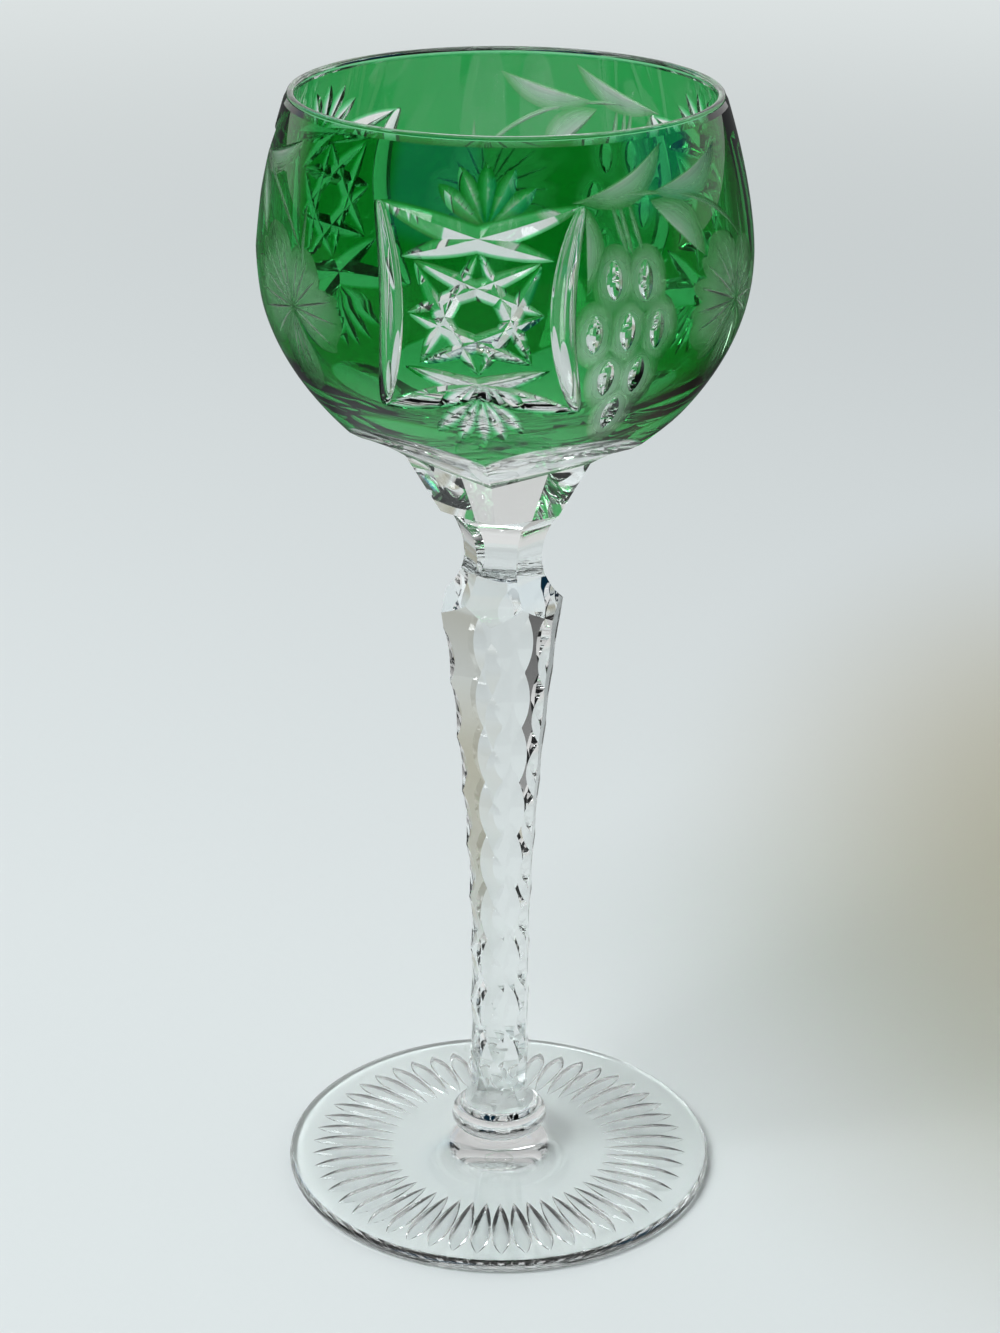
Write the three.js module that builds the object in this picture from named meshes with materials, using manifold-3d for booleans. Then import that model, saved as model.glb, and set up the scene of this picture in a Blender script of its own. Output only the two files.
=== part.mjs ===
// Tall wine goblet of cut glass: a round bowl of clear crystal cased in green glass and cut through to
// the clear, on a six-sided notched stem, a collar and a round foot with radial flutes.
// Millimetres, +Z up. The origin is the middle of the foot's underside, and the middle of one star
// panel faces -Y. Azimuths are in degrees from -Y towards +X.
import * as THREE from "three";
import { mergeVertices } from "three/addons/utils/BufferGeometryUtils.js";
import Module from "manifold-3d";

const wasm = await Module();
wasm.setup();

// Foot
const FOOT_RADIUS = 41;
const FOOT_EDGE = 2.5; // thickness at the rounded edge
const FOOT_RISE = 7.6; // height of the seat in the middle
const FOOT_SLOPE = 1.5; // the part of that rise that is an even slope
const FOOT_SWEEP = 6; // power of the rest: the higher, the nearer to the seat it stays
const SEAT_LEDGE = 0.25; // flat of the seat round the collar
const FLUTE_COUNT = 50;
const FLUTE_INNER = 20.5; // radii of a flute's inner tip, widest place and outer tip
const FLUTE_WIDEST = 31;
const FLUTE_OUTER = 36.5;
const FLUTE_HALF_WIDTH = 1.8;
const FLUTE_DEPTH = 0.8;

// Collar: a bead with a narrow step on top
const COLLAR_HEIGHT = 5.4;
const COLLAR_STEP = 1.3; // height of the step
const COLLAR_LEDGE = 0.7; // flat of the step round the stem
const COLLAR_BEVEL = 0.4;
const COLLAR_BEAD = 2.1; // how far the bead stands out of the step

// Stem: corner radii of its six-sided section, and lengths along it
const STEM_RADIUS = 6.0;
const STEM_LENGTH = 104.4; // collar to shoulder
const STEM_FLARE_LENGTH = 72.5; // the part that widens up to the shoulder
const STEM_FLARE_POWER = 1.7;
const SHOULDER_RADIUS = 11.9;
const NOTCH_COUNT = 9; // one above the other on each corner
const NOTCH_MARGIN = 3.9; // plain stretch between the top notch and the shoulder
const NOTCH_DEPTH = 0.45;
const NOTCH_RIDGE = 0.06; // what a ridge between two notches has lost
const STEM_TURN = -3.7; // the stem's corners against the bowl's, degrees

// Neck: the fluted waist between shoulder and bowl
const NECK_RADIUS = 7.1; // corner radius at the waist
const NECK_DROP = 8.5; // waist down to the shoulder
const NECK_LENGTH = 9.6; // waist up to the end of the neck flutes
const NECK_TOP_RADIUS = 11.1; // corner radius there
const NECK_SWEEP = 2.1; // power of the hollow curves that leave the waist

// Bowl
const BOWL_RADIUS = 42.85;
const BOWL_RISE = 56.5; // waist up to the widest level
const BOWL_SWEEP = 2.13; // power of the curve from the base up to the widest level
const RIM_RADIUS = 37.0;
const RIM_RISE = 27.5; // widest level up to the rim
const RIM_SWEEP = 1.6; // power of the curve from the widest level up to the rim
const RIM_BEVEL = 0.5;
const BOWL_WALL = 3.0; // both layers together, at the widest level
const RIM_WALL = 2.0; // the same at the rim
const HOLLOW_SWEEP = 2.35; // power of the hollow's curve: 2 is an ellipse, more is fuller
const CASING = 0.8; // thickness of the green layer
const CASING_TOP = 0.6; // the green layer ends this far under the rim

// Base of the bowl: six wide flutes over a crisp ring, and a cone down to the neck
const RING_RADIUS = 18.7; // corner radius of the ring
const RING_RISE = 19.0; // waist up to the ring
const RING_LEDGE = 1.6; // the uncut ball would pass this far outside the ring
const FLOOR_RISE = 6.2; // ring up to the bottom of the hollow
const CONE_RADIUS = 11.9; // corner radius of the cone's foot
const SWEEP_BEND = { out: 12, up: 11.8 }; // where the wide flutes' curve bends, from the ring
const SWEEP_END = { out: 41.3, up: 20 }; // a place outside the bowl that it heads for

// Ornament, repeated round the bowl
const PANEL_COUNT = 3;
const PANEL_HALF_ANGLE = 23.8; // middle of a panel to its corners, degrees
const PANEL_MARGIN = 10.8; // rim down to the panel's upper corners
const PANEL_HEIGHT = 34.4;
const PANEL_BOW = 3.9; // how far the upright cuts lean in, degrees
const CROSS_ANGLE = 16.5; // a crossing mitre ends this far past the middle, degrees
const CROSS_DROP = 7.9; // and this far from its corner's level
const UPRIGHT_HALF_WIDTH = 2.3;
const UPRIGHT_DEPTH = 1.6;
const MITRE_HALF_WIDTH = 1.5;
const MITRE_DEPTH = 1.3;
const STAR_TIPS = 8;
const STAR_POINT = 10.9; // reach of its upright and level points
const STAR_CORNER = 13.4; // reach of its four corner points
const STAR_HALF_WIDTH = 0.7;
const STAR_DEPTH = 0.55;
const BUNCH_ANGLE = 34.2; // middle of a panel to the middle of its bunch, degrees
const BUNCH_DROP = 12.1; // panel's upper corners down to the first row of grapes
const BUNCH_ROWS = [2, 3, 2, 1]; // grapes in each row
const GRAPE_ROW_PITCH = 7.7;
const GRAPE_PITCH = 7.2; // between neighbours in a row, degrees
const GRAPE_HALF_WIDTH = 3.5;
const GRAPE_HALF_HEIGHT = 4.8;
const GRAPE_DEPTH = 0.45;

// Clearance and fineness
const FUSE_GAP = 0.05; // hairline between two fused pieces of glass
const LAP = 0.06; // a cutter's widest place lies this far outside the surface
const ROUND_SIDES = 36;
const HEXAGON = 6;
const BALL_LEVELS = 8; // from the base up to the widest level
const RIM_LEVELS = 4; // from there up to the rim
const CURVE_STEPS = 8;
const NOTCH_STEPS = 4;
const MITRE_STEPS = 5;
const FINE_STEPS = 4;

// Radii that follow from what a piece carries
const stepRadius = STEM_RADIUS + COLLAR_LEDGE + COLLAR_BEVEL;
const beadRadius = stepRadius + COLLAR_BEAD;
const beadHeight = COLLAR_HEIGHT - COLLAR_STEP;
const seatRadius = beadRadius - beadHeight / 2 + SEAT_LEDGE;

// Levels above the table, worked out from the foot up
const collarBase = FOOT_RISE + FUSE_GAP;
const stepLevel = collarBase + beadHeight;
const collarTop = collarBase + COLLAR_HEIGHT;
const stemBase = collarTop + FUSE_GAP;
const shoulderLevel = stemBase + STEM_LENGTH;
const waistLevel = shoulderLevel + NECK_DROP;
const bowlBase = waistLevel + FUSE_GAP;
const neckTop = waistLevel + NECK_LENGTH;
const ringLevel = waistLevel + RING_RISE;
const floorLevel = ringLevel + FLOOR_RISE;
const widestLevel = waistLevel + BOWL_RISE;
const rimLevel = widestLevel + RIM_RISE;
const panelTop = rimLevel - PANEL_MARGIN;
const panelBottom = panelTop - PANEL_HEIGHT;

// Clear of the whole bowl, for solids that trim it
const wide = BOWL_RADIUS + SWEEP_END.out;
const above = rimLevel + RIM_RISE;

const radians = THREE.MathUtils.degToRad;
const point = (radius, height) => new THREE.Vector2(radius, height);

// Points from share 0 to share 1
function traced(steps, place) {
  return Array.from({ length: steps + 1 }, (_, i) => place(i / steps));
}

function toSolid(geometry) {
  const bare = geometry.clone();
  bare.deleteAttribute("normal");
  bare.deleteAttribute("uv");
  const merged = mergeVertices(bare, 1e-5);
  const corners = merged.index.array;
  const kept = [];
  for (let i = 0; i < corners.length; i += 3) {
    const [a, b, c] = [corners[i], corners[i + 1], corners[i + 2]];
    if (a !== b && b !== c && c !== a) kept.push(a, b, c);
  }
  const position = merged.getAttribute("position");
  const vertices = Float32Array.from(position.array);
  let volume = 0;
  const [p, q, r] = [new THREE.Vector3(), new THREE.Vector3(), new THREE.Vector3()];
  for (let i = 0; i < kept.length; i += 3) {
    p.fromBufferAttribute(position, kept[i]);
    q.fromBufferAttribute(position, kept[i + 1]);
    r.fromBufferAttribute(position, kept[i + 2]);
    volume += p.dot(q.cross(r));
  }
  if (volume < 0) kept.reverse();
  const triangles = Uint32Array.from(kept);
  return new wasm.Manifold(new wasm.Mesh({ numProp: 3, vertProperties: vertices, triVerts: triangles }));
}

// A profile of points (radius, height) turned round the Z axis. With six sides it is a six-sided
// solid whose corners follow the profile.
function turned(profile, sides, turn = 0) {
  const lathe = new THREE.LatheGeometry(profile, sides, radians(turn), 2 * Math.PI);
  return toSolid(lathe.rotateX(Math.PI / 2));
}

function radiusAt(profile, height) {
  for (let i = 1; i < profile.length; i += 1) {
    const [low, high] = [profile[i - 1], profile[i]];
    if (height <= high.y || i === profile.length - 1) {
      const share = (height - low.y) / (high.y - low.y);
      return low.x + share * (high.x - low.x);
    }
  }
  return 0;
}

// From the widest level up to a rim of the given radius
function upToRim(widest, rim) {
  return traced(RIM_LEVELS, (share) => {
    return point(widest - (widest - rim) * share ** RIM_SWEEP, widestLevel + RIM_RISE * share);
  });
}

// The ball, from inside the base up to the rim
const ballRadius = RING_RADIUS + RING_LEDGE;
const bowlOutside = [
  ...traced(BALL_LEVELS, (share) => {
    const radius = BOWL_RADIUS - (BOWL_RADIUS - ballRadius) * (1 - share) ** BOWL_SWEEP;
    return point(radius, ringLevel + (widestLevel - ringLevel) * share);
  }).slice(0, -1),
  ...upToRim(BOWL_RADIUS, RIM_RADIUS),
];

// The hollow, from its floor up to the rim
const hollowRadius = BOWL_RADIUS - BOWL_WALL;
const bowlInside = [
  ...traced(BALL_LEVELS, (share) => {
    const turn = (Math.PI / 2) * share;
    const radius = hollowRadius * Math.sin(turn) ** (2 / HOLLOW_SWEEP);
    const depth = (widestLevel - floorLevel) * Math.cos(turn) ** (2 / HOLLOW_SWEEP);
    return point(radius, widestLevel - depth);
  }).slice(0, -1),
  ...upToRim(hollowRadius, RIM_RADIUS - RIM_WALL),
];

// The wide flutes under the bowl with their ring and cone, as a six-sided solid
const fluteSweep = new THREE.QuadraticBezierCurve(
  point(RING_RADIUS, ringLevel),
  point(RING_RADIUS + SWEEP_BEND.out, ringLevel + SWEEP_BEND.up),
  point(RING_RADIUS + SWEEP_END.out, ringLevel + SWEEP_END.up),
);
const baseTrim = turned(
  [
    point(0, 0),
    point(CONE_RADIUS, 0),
    point(CONE_RADIUS, neckTop),
    ...fluteSweep.getPoints(CURVE_STEPS),
    point(wide, above),
    point(0, above),
  ],
  HEXAGON,
);

// The hollow flutes of the neck, from below the shoulder up
function neckRadius(height) {
  const [end, radius] = height < waistLevel
    ? [shoulderLevel, SHOULDER_RADIUS]
    : [neckTop, NECK_TOP_RADIUS];
  const share = (height - waistLevel) / (end - waistLevel);
  return NECK_RADIUS + (radius - NECK_RADIUS) * share ** NECK_SWEEP;
}
const neckStart = shoulderLevel - NECK_DROP / 2;
const neckTrim = turned(
  [
    point(0, 0),
    point(neckRadius(neckStart), 0),
    ...traced(CURVE_STEPS, (share) => {
      const height = neckStart + (waistLevel - neckStart) * share;
      return point(neckRadius(height), height);
    }),
    ...traced(CURVE_STEPS, (share) => {
      const height = waistLevel + NECK_LENGTH * share;
      return point(neckRadius(height), height);
    }).slice(1),
    point(wide, ringLevel),
    point(wide, above),
    point(0, above),
  ],
  HEXAGON,
  180 / HEXAGON + STEM_TURN,
);

// A place on the outside of the bowl, moved out along the surface's normal
function onBowl(azimuth, height, out) {
  const radius = radiusAt(bowlOutside, height);
  const rise = 0.5;
  const slope = (radiusAt(bowlOutside, height + rise) - radiusAt(bowlOutside, height - rise)) / (2 * rise);
  const length = Math.hypot(1, slope);
  const reach = radius + out / length;
  const level = height - (out * slope) / length;
  const angle = radians(azimuth);
  return new THREE.Vector3(reach * Math.sin(angle), -reach * Math.cos(angle), level);
}

// A ball of unit size with its poles along its length, laid on a surface: across and along it in
// millimetres, and sunk to the cut's depth. Four sides make a V-shaped cut, more make a hollow.
function laidCut(place, sides, steps, halfWidth, depth) {
  const ball = new THREE.SphereGeometry(1, sides, steps);
  const position = ball.getAttribute("position");
  for (let i = 0; i < position.count; i += 1) {
    const [across, along, out] = [position.getX(i), position.getY(i), position.getZ(i)];
    const laid = place(across * halfWidth, along, out * depth + LAP);
    position.setXYZ(i, laid.x, laid.y, laid.z);
  }
  return toSolid(ball);
}

// A mitre on the bowl from one place (azimuth, height) to another, bowed sideways in degrees
function mitre(from, to, halfWidth, depth, steps, bow = 0) {
  const middle = (from[1] + to[1]) / 2;
  const perDegree = radians(1) * radiusAt(bowlOutside, middle);
  const run = [(to[0] - from[0]) * perDegree, to[1] - from[1]];
  const length = Math.hypot(run[0], run[1]);
  const side = [run[1] / length / perDegree, -run[0] / length];
  const place = (across, along, out) => {
    const share = (1 + along) / 2;
    const sag = bow * 4 * share * (1 - share);
    const azimuth = from[0] + share * (to[0] - from[0]) + across * side[0] + sag;
    const height = from[1] + share * (to[1] - from[1]) + across * side[1];
    return onBowl(azimuth, height, out);
  };
  return laidCut(place, 4, steps, halfWidth, depth);
}

// A hollow oval on the bowl
function grape(azimuth, height) {
  const perDegree = radians(1) * radiusAt(bowlOutside, height);
  const place = (across, along, out) => {
    return onBowl(azimuth + across / perDegree, height + along * GRAPE_HALF_HEIGHT, out);
  };
  return laidCut(place, HEXAGON, FINE_STEPS, GRAPE_HALF_WIDTH, GRAPE_DEPTH);
}

// The frame of a star panel: two bowed uprights, and two pairs of mitres that cross
function panelFrame(middle) {
  const cuts = [];
  for (const side of [-1, 1]) {
    const corner = middle + side * PANEL_HALF_ANGLE;
    const crossed = middle - side * CROSS_ANGLE;
    const [top, bottom] = [[corner, panelTop], [corner, panelBottom]];
    cuts.push(
      mitre(top, bottom, UPRIGHT_HALF_WIDTH, UPRIGHT_DEPTH, MITRE_STEPS, -side * PANEL_BOW),
      mitre(top, [crossed, panelTop - CROSS_DROP], MITRE_HALF_WIDTH, MITRE_DEPTH, MITRE_STEPS),
      mitre(bottom, [crossed, panelBottom + CROSS_DROP], MITRE_HALF_WIDTH, MITRE_DEPTH, MITRE_STEPS),
    );
  }
  return cuts;
}

// The star of eight points: each point is joined to the third one round from it
function star(middle) {
  const height = (panelTop + panelBottom) / 2;
  const perDegree = radians(1) * BOWL_RADIUS;
  const tips = [];
  for (let i = 0; i < STAR_TIPS; i += 1) {
    const reach = i % 2 === 0 ? STAR_POINT : STAR_CORNER;
    const angle = (2 * Math.PI * i) / STAR_TIPS;
    tips.push([middle + (reach * Math.sin(angle)) / perDegree, height + reach * Math.cos(angle)]);
  }
  return tips.map((tip, i) => {
    return mitre(tip, tips[(i + 3) % STAR_TIPS], STAR_HALF_WIDTH, STAR_DEPTH, FINE_STEPS);
  });
}

function bunch(middle) {
  const grapes = [];
  for (const [row, count] of BUNCH_ROWS.entries()) {
    const height = panelTop - BUNCH_DROP - row * GRAPE_ROW_PITCH;
    for (let i = 0; i < count; i += 1) {
      grapes.push(grape(middle + BUNCH_ANGLE + (i - (count - 1) / 2) * GRAPE_PITCH, height));
    }
  }
  return grapes;
}

function onEachPanel(makeCuts) {
  const cuts = [];
  for (let i = 0; i < PANEL_COUNT; i += 1) cuts.push(...makeCuts((360 / PANEL_COUNT) * i));
  return wasm.Manifold.union(cuts);
}

const frameCuts = onEachPanel(panelFrame);

// Clear crystal: the cup with its thick base and the upper half of the neck
function bowlLining() {
  const inset = CASING + FUSE_GAP;
  const skin = bowlOutside.slice(0, -1).map((p) => point(p.x - inset, p.y));
  const outline = [
    point(0, bowlBase),
    point(wide, bowlBase),
    point(wide, ringLevel),
    ...skin,
    point(RIM_RADIUS - inset, rimLevel - RIM_BEVEL),
    point(RIM_RADIUS - inset - RIM_BEVEL / 2, rimLevel),
    point(RIM_RADIUS - RIM_WALL + RIM_BEVEL / 2, rimLevel),
    point(RIM_RADIUS - RIM_WALL, rimLevel - RIM_BEVEL),
    ...bowlInside.slice(0, -1).reverse(),
  ];
  return turned(outline, ROUND_SIDES).intersect(baseTrim).intersect(neckTrim).subtract(frameCuts);
}

// Green glass: a thin coat on the outside of the cup, opened by the cuts
function bowlCasing() {
  const top = rimLevel - CASING_TOP;
  const coat = bowlOutside.slice(0, -1);
  coat.push(point(radiusAt(bowlOutside, top), top));
  const back = coat.map((p) => point(p.x - CASING, p.y)).reverse();
  const shell = turned([...coat, ...back, coat[0]], ROUND_SIDES);
  const engraving = onEachPanel(star).add(onEachPanel(bunch));
  return shell.intersect(baseTrim).subtract(frameCuts).subtract(engraving);
}

function stemRadius(level) {
  const flareStart = shoulderLevel - STEM_FLARE_LENGTH;
  const share = THREE.MathUtils.clamp((level - flareStart) / STEM_FLARE_LENGTH, 0, 1);
  return STEM_RADIUS + (SHOULDER_RADIUS - STEM_RADIUS) * share ** STEM_FLARE_POWER;
}

// One level of the stem: a hexagon with each corner cut back flat by the notch
function stemRing(level, cut) {
  const radius = stemRadius(level);
  const halfWidth = cut * Math.tan(radians(60));
  const ring = [];
  for (let i = 0; i < HEXAGON; i += 1) {
    const angle = radians((360 / HEXAGON) * i + STEM_TURN);
    const out = new THREE.Vector3(Math.sin(angle), -Math.cos(angle), 0);
    const along = new THREE.Vector3(Math.cos(angle), Math.sin(angle), 0);
    for (const side of [-1, 1]) {
      const corner = out.clone().multiplyScalar(radius - cut).addScaledVector(along, side * halfWidth);
      ring.push(corner.setZ(level));
    }
  }
  return ring;
}

// A closed body through rings of equally many points
function lofted(rings) {
  const count = rings[0].length;
  const corners = rings.flat();
  const ends = [rings[0], rings[rings.length - 1]];
  for (const ring of ends) corners.push(new THREE.Vector3(0, 0, ring[0].z));
  const faces = [];
  for (let i = 0; i < rings.length - 1; i += 1) {
    for (let j = 0; j < count; j += 1) {
      const [a, b] = [i * count + j, i * count + ((j + 1) % count)];
      faces.push(a, b, b + count, a, b + count, a + count);
    }
  }
  const [bottom, top] = [corners.length - 2, corners.length - 1];
  const last = (rings.length - 1) * count;
  for (let j = 0; j < count; j += 1) {
    const next = (j + 1) % count;
    faces.push(bottom, next, j, top, last + j, last + next);
  }
  const geometry = new THREE.BufferGeometry().setFromPoints(corners);
  geometry.setIndex(faces);
  return toSolid(geometry);
}

// Clear crystal: the six-sided stem with a column of notches on each corner, its shoulder and the
// lower half of the neck
function stem() {
  const pitch = (STEM_LENGTH - NOTCH_MARGIN) / NOTCH_COUNT;
  const rings = [];
  for (let i = 0; i <= NOTCH_COUNT * NOTCH_STEPS; i += 1) {
    const share = (i % NOTCH_STEPS) / NOTCH_STEPS;
    const cut = NOTCH_RIDGE + NOTCH_DEPTH * 4 * share * (1 - share);
    rings.push(stemRing(stemBase + (i / NOTCH_STEPS) * pitch, cut));
  }
  rings.push(stemRing(shoulderLevel, NOTCH_RIDGE));
  rings.push(stemRing(waistLevel, NOTCH_RIDGE));
  return lofted(rings).intersect(neckTrim);
}

// Clear crystal
function stemCollar() {
  const half = beadHeight / 2;
  const bead = new THREE.EllipseCurve(
    beadRadius - half, collarBase + half, half, half, -Math.PI / 2, Math.PI / 2,
  );
  const outline = [
    point(0, collarBase),
    ...bead.getPoints(CURVE_STEPS),
    point(stepRadius, stepLevel),
    point(stepRadius, collarTop - COLLAR_BEVEL),
    point(stepRadius - COLLAR_BEVEL, collarTop),
    point(0, collarTop),
  ];
  return turned(outline, ROUND_SIDES);
}

// One V-shaped flute in the foot's underside, pointed at both ends
function footFlute(angle) {
  const place = (across, along, out) => {
    const reach = along < 0 ? FLUTE_WIDEST - FLUTE_INNER : FLUTE_OUTER - FLUTE_WIDEST;
    const radius = FLUTE_WIDEST + along * reach;
    const [sine, cosine] = [Math.sin(angle), Math.cos(angle)];
    return new THREE.Vector3(across * cosine + radius * sine, across * sine - radius * cosine, -out);
  };
  return laidCut(place, 4, 2, FLUTE_HALF_WIDTH, FLUTE_DEPTH);
}

// Clear crystal: a round foot, its top sweeping up to the seat
function foot() {
  const half = FOOT_EDGE / 2;
  const edge = new THREE.EllipseCurve(FOOT_RADIUS - half, half, half, half, -Math.PI / 2, Math.PI / 2);
  const sweep = FOOT_RISE - FOOT_EDGE - FOOT_SLOPE;
  const top = traced(CURVE_STEPS, (share) => {
    const radius = FOOT_RADIUS - half - (FOOT_RADIUS - half - seatRadius) * share;
    return point(radius, FOOT_EDGE + FOOT_SLOPE * share + sweep * share ** FOOT_SWEEP);
  });
  const outline = [point(0, 0), ...edge.getPoints(CURVE_STEPS), ...top.slice(1), point(0, FOOT_RISE)];
  const flutes = [];
  for (let i = 0; i < FLUTE_COUNT; i += 1) flutes.push(footFlute((2 * Math.PI * i) / FLUTE_COUNT));
  return turned(outline, ROUND_SIDES).subtract(wasm.Manifold.union(flutes));
}

const clearCrystal = { color: 0xe9eeec, roughness: 0.02, metalness: 0, transparent: true, opacity: 0.45 };
const greenCasing = { color: 0x0c7a3a, roughness: 0.03, metalness: 0, transparent: true, opacity: 0.7 };

function piece(name, solid, look) {
  const { vertProperties, triVerts } = solid.getMesh();
  const geometry = new THREE.BufferGeometry();
  geometry.setAttribute("position", new THREE.BufferAttribute(vertProperties, 3));
  geometry.setIndex(new THREE.BufferAttribute(triVerts, 1));
  geometry.computeVertexNormals();
  const mesh = new THREE.Mesh(geometry, new THREE.MeshStandardMaterial({ ...look, flatShading: true }));
  mesh.name = name;
  return mesh;
}

const goblet = new THREE.Group();
goblet.add(
  piece("foot", foot(), clearCrystal),
  piece("stem_collar", stemCollar(), clearCrystal),
  piece("stem", stem(), clearCrystal),
  piece("bowl_lining", bowlLining(), clearCrystal),
  piece("bowl_casing", bowlCasing(), greenCasing),
);

export default goblet;
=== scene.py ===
import math

import bpy
from mathutils import Matrix, Vector


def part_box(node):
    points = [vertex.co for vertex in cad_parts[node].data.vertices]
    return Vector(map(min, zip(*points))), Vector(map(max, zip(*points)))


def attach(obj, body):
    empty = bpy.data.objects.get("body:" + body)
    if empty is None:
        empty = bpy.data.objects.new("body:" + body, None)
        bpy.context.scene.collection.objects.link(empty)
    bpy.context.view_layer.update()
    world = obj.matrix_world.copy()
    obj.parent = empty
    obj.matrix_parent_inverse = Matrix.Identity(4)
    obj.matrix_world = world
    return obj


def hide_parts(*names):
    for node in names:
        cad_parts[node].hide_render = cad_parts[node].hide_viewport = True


bl_info = {
    "name": "Cased and Cut Wine Goblet",
    "version": (1, 0, 0),
    "blender": (4, 5, 0),
    "location": "View3D > Sidebar > Goblet",
    "description": "Models a tall wine goblet of cut glass, piece by piece",
    "category": "Add Mesh",
}

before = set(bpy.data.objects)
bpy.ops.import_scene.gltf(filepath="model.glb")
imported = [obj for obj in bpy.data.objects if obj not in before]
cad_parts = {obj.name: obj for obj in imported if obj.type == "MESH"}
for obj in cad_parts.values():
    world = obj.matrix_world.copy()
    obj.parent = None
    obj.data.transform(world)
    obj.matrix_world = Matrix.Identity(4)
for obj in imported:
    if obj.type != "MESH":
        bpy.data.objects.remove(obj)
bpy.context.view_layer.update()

MM = 0.001
FULL_TURN = 2 * math.pi
CORNERS = 6  # of the stem, the neck, the ring and the wide flutes
RING_RISE = 19 * MM  # waist up to the crisp ring under the bowl
RIM_RISE = 27.5 * MM  # widest level up to the rim
FLUTE_BEND = Vector((12, 11.8)) * MM  # where the curve of the wide flutes bends, from the ring
FLUTE_END = Vector((41.3, 20)) * MM  # a place outside the bowl that it heads for

# Steps round a piece and along its outlines
ROUND_STEPS = 256
COLLAR_ROUND_STEPS = 128
SKIN_STEPS = 72
HOLLOW_STEPS = 48
RIM_STEPS = 24
FLUTE_STEPS = 40
NECK_STEPS = 24
STEM_STEPS = 64
BEAD_STEPS = 24
FOOT_EDGE_STEPS = 16
FOOT_TOP_STEPS = 48

# Edges that turn by more degrees than this stay crisp
CUT_ANGLE = 12
ROUND_ANGLE = 30

DOUBLES = 0.001 * MM  # places nearer than this are one
JOINT_SLACK = 0.005 * MM  # how far a face of a fused joint may lie off its level
JOINT_UPRIGHT = 0.99  # and how upright its normal is at least


def middle_level(lower, upper):
    """The level half way through the hairline between two fused pieces."""
    return (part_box(lower)[1].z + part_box(upper)[0].z) / 2


SEAT = middle_level("foot", "stem_collar")
COLLAR_TOP = middle_level("stem_collar", "stem")
WAIST = middle_level("stem", "bowl_lining")
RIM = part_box("bowl_lining")[1].z
RING = WAIST + RING_RISE
WIDEST = RIM - RIM_RISE


def linear(hex_colour):
    """An sRGB hex colour as linear red, green, blue and alpha."""
    parts = [int(hex_colour[i:i + 2], 16) / 255 for i in (1, 3, 5)]
    return [c / 12.92 if c <= 0.04045 else ((c + 0.055) / 1.055) ** 2.4 for c in parts] + [1.0]


def length(name, default, description, **settings):
    """A size in metres, as a user would change it."""
    return bpy.props.FloatProperty(
        name=name, description=description, default=default, min=0.0,
        subtype="DISTANCE", unit="LENGTH", precision=5, **settings,
    )


def number(name, default, description):
    return bpy.props.FloatProperty(name=name, description=description, default=default)


def colour(name, hex_colour, description):
    return bpy.props.FloatVectorProperty(
        name=name, description=description, default=linear(hex_colour),
        size=4, min=0.0, max=1.0, subtype="COLOR",
    )


class BowlSizes(bpy.types.PropertyGroup):
    """Sizes of the bowl and its casing"""

    radius: length("Radius", 42.83 * MM, "Outside radius at the widest level")
    rim_radius: length("Rim Radius", 37.0 * MM, "Outside radius at the rim")
    wall: length("Wall", 3.0 * MM, "Thickness at the widest level")
    rim_wall: length("Rim Wall", 1.4 * MM, "Thickness at the rim")
    floor: length("Floor", 6.2 * MM, "Ring up to the bottom of the hollow")
    casing: length("Casing", 0.42 * MM, "Thickness of the green layer")
    ring_radius: length("Ring Radius", 18.7 * MM, "Corner radius of the crisp ring under the bowl")
    ring_ledge: length("Ring Ledge", 1.6 * MM, "The uncut ball would pass this far outside the ring")
    ring_lift: length("Ring Lift", 2.1 * MM, "The ring's corners between two panels lie this much higher")
    ring_fade: length("Ring Fade", 8.3 * MM, "How far outside the ring that lift ends")
    cone_radius: length("Cone Radius", 11.9 * MM, "Corner radius of the cone's foot")
    sweep: number("Sweep", 2.13, "Power of the curve from the base up to the widest level")
    rim_sweep: number("Rim Sweep", 1.6, "Power of the curve from there up to the rim")
    hollow_sweep: number("Hollow Sweep", 2.35, "Fullness of the hollow, 2 is an ellipse")


class NeckSizes(bpy.types.PropertyGroup):
    """Sizes of the fluted waist between shoulder and bowl"""

    radius: length("Radius", 7.1 * MM, "Corner radius at the waist")
    drop: length("Drop", 8.5 * MM, "Waist down to the shoulder")
    rise: length("Rise", 9.6 * MM, "Waist up to the end of the neck flutes")
    top_radius: length("Top Radius", 11.1 * MM, "Corner radius at the end of the neck flutes")
    sweep: number("Sweep", 2.1, "Power of the hollow curves that leave the waist")


class StemSizes(bpy.types.PropertyGroup):
    """Sizes of the notched stem"""

    radius: length("Radius", 6.0 * MM, "Corner radius at the collar")
    shoulder_radius: length("Shoulder Radius", 11.9 * MM, "Corner radius at the shoulder")
    flare_length: length("Flare Length", 72.5 * MM, "The part that widens up to the shoulder")
    flare_power: number("Flare Power", 1.7, "Power of that curve")
    notches: bpy.props.IntProperty(name="Notches", description="Notches on each corner", default=9)
    notch_margin: length("Notch Margin", 3.9 * MM, "Plain stretch under the shoulder")
    notch_depth: length("Notch Depth", 0.95 * MM, "Depth of a notch")
    notch_ridge: length("Notch Ridge", 0.06 * MM, "What a ridge between two notches has lost")
    turn: bpy.props.FloatProperty(
        name="Turn", description="The stem's corners against the bowl's",
        default=math.radians(-3.7), subtype="ANGLE", unit="ROTATION",
    )


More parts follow.
